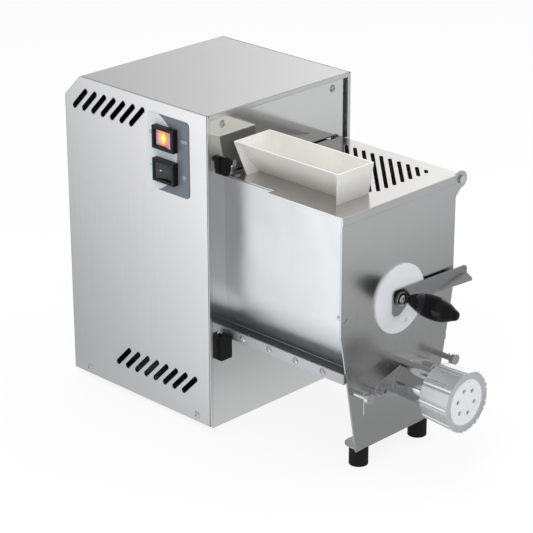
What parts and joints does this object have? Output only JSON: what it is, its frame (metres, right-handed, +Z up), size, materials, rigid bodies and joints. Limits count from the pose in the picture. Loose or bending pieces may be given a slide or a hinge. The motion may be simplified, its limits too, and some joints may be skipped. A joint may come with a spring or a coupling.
{
  "type": "electric pasta maker",
  "caption": "Bench-top electric pasta maker with a mixing tank, slotted lid and feed tray, extruder barrel with ring nut and die, and a steel drive cabinet with rocker switches.",
  "frame": {"origin": "on the table, under the centre of the bounding box", "axes": "+X to the machine's right seen from the front, +Y from the ring nut to the cabinet's back, +Z up"},
  "size_m": [0.2711, 0.5966, 0.432],
  "materials": {
    "cabinet_steel": "satin",
    "mirror_steel": "polished",
    "tank_steel": "satin",
    "lid_steel": "satin",
    "frame_steel": "galvanised",
    "polished_steel": "polished",
    "lever_steel": "satin",
    "gear_steel": "ground",
    "nut_aluminium": "satin",
    "motor_paint": "enamel",
    "motor_aluminium": "cast",
    "stator_core": "laminated",
    "bush_bronze": "plain",
    "label_print": "printed",
    "food_plastic": "smooth",
    "tray_plastic": "smooth",
    "black_plastic": "moulded",
    "handle_plastic": "polished",
    "rocker_amber": "translucent",
    "rocker_grey": "ribbed",
    "fan_plastic": "moulded",
    "foot_rubber": "moulded",
    "seal_rubber": "moulded",
    "box_plastic": "moulded"
  },
  "bodies": {
    "machine": {"barrel": "polished_steel", "barrel_bolts": "polished_steel", "base_plate": "frame_steel", "bearing_bushes": "bush_bronze", "case_screws": "polished_steel", "control_box": "box_plastic", "cooling_fan_frame": "fan_plastic", "cutter_studs": "polished_steel", "foot_bolts": "polished_steel", "front_panel": "mirror_steel", "front_plate": "mirror_steel", "gearbox_bolts": "frame_steel", "gearbox_feet": "frame_steel", "gearbox_front_plate": "frame_steel", "gearbox_posts": "frame_steel", "gearbox_rear_plate": "frame_steel", "hinge_pins": "polished_steel", "inner_frame": "frame_steel", "lid_hinge_bracket": "frame_steel", "lid_sensor": "black_plastic", "mode_switch_frame": "black_plastic", "motor_fan_cover": "motor_paint", "motor_housing": "motor_aluminium", "motor_stator": "stator_core", "power_gland": "black_plastic", "power_switch_frame": "black_plastic", "rear_panel": "cabinet_steel", "rubber_feet": "foot_rubber", "run_capacitor": "motor_aluminium", "shaft_seals": "seal_rubber", "side_panel_left": "cabinet_steel", "side_panel_right": "cabinet_steel", "switch_label_plate": "label_print", "tank_rails": "tank_steel", "tank_sensor": "black_plastic", "tank_shell": "tank_steel", "top_cover": "cabinet_steel"},
    "lid": {"lid": "lid_steel", "lid_sensor_key": "lid_steel"},
    "feed_tray": {"feed_tray": "tray_plastic"},
    "power_rocker": {"power_rocker": "rocker_amber"},
    "mode_rocker": {"mode_rocker": "rocker_grey"},
    "die": {"die_disc": "food_plastic"},
    "ring_nut": {"ring_nut": "nut_aluminium"},
    "lever": {"front_bearing_disc": "food_plastic", "lever_plate": "lever_steel", "lever_screw": "polished_steel", "handle_spindle": "polished_steel"},
    "egg_handle": {"egg_handle": "handle_plastic"},
    "motor_rotor": {"motor_rotor": "gear_steel", "motor_pinion": "gear_steel", "motor_fan": "fan_plastic"},
    "idler": {"idler_shaft": "gear_steel", "idler_double_gear": "gear_steel"},
    "mixer": {"mixer_shaft": "tank_steel", "mixer_gear": "gear_steel"},
    "auger": {"auger_screw": "tank_steel", "auger_gear": "gear_steel"},
    "cooling_fan": {"cooling_fan_rotor": "fan_plastic"}
  },
  "joints": [
    {"name": "motor_turn", "type": "hinge", "parent": "machine", "child": "motor_rotor", "pos_m": [0.0031, 0.0843, 0.30328], "axis": [0, 1, 0], "continuous": true},
    {"name": "idler_turn", "type": "hinge", "parent": "machine", "child": "idler", "pos_m": [0.06144, 0.0583, 0.27084], "axis": [0, 1, 0], "continuous": true},
    {"name": "mixer_turn", "type": "hinge", "parent": "machine", "child": "mixer", "pos_m": [0.0031, 0.0583, 0.2125], "axis": [0, 1, 0], "continuous": true},
    {"name": "auger_turn", "type": "hinge", "parent": "machine", "child": "auger", "pos_m": [0.0031, 0.0583, 0.1075], "axis": [0, 1, 0], "continuous": true},
    {"name": "cooling_fan_turn", "type": "hinge", "parent": "machine", "child": "cooling_fan", "pos_m": [-0.0519, 0.2733, 0.105], "axis": [0, 1, 0], "continuous": true},
    {"name": "lid_hinge", "type": "hinge", "parent": "machine", "child": "lid", "pos_m": [0.1181, -0.0817, 0.339], "axis": [0, 1, 0], "range_deg": [0, 95]},
    {"name": "feed_tray_lift", "type": "slide", "parent": "lid", "child": "feed_tray", "axis": [0, 0, 1], "range_m": [0, 0.06]},
    {"name": "power_rocker_tilt", "type": "hinge", "parent": "machine", "child": "power_rocker", "pos_m": [-0.1277, 0.0908, 0.3878], "axis": [0, 0, 1], "range_deg": [0, 14]},
    {"name": "mode_rocker_tilt", "type": "hinge", "parent": "machine", "child": "mode_rocker", "pos_m": [-0.1277, 0.0908, 0.3444], "axis": [0, 0, -1], "range_deg": [0, 14]},
    {"name": "lever_turn", "type": "hinge", "parent": "machine", "child": "lever", "pos_m": [0.0031, -0.1857, 0.2125], "axis": [0, -1, 0], "range_deg": [0, 75]},
    {"name": "egg_handle_turn", "type": "hinge", "parent": "lever", "child": "egg_handle", "pos_m": [0.0171, -0.2217, 0.2085], "axis": [0, 1, 0], "continuous": true},
    {"name": "die_travel", "type": "slide", "parent": "machine", "child": "die", "axis": [0, -1, 0], "range_m": [0, 0.015]},
    {"name": "ring_nut_turn", "type": "hinge", "parent": "die", "child": "ring_nut", "pos_m": [0.0031, -0.2667, 0.1075], "axis": [0, -1, 0], "range_deg": [0, 1800]}
  ],
  "couplings": [
    {"joint": "idler_turn", "follows": "motor_turn", "ratio": -0.23611},
    {"joint": "mixer_turn", "follows": "motor_turn", "ratio": 0.088542},
    {"joint": "auger_turn", "follows": "motor_turn", "ratio": -0.11806},
    {"joint": "die_travel", "follows": "ring_nut_turn", "m_per_rad": 0.00047746}
  ]
}
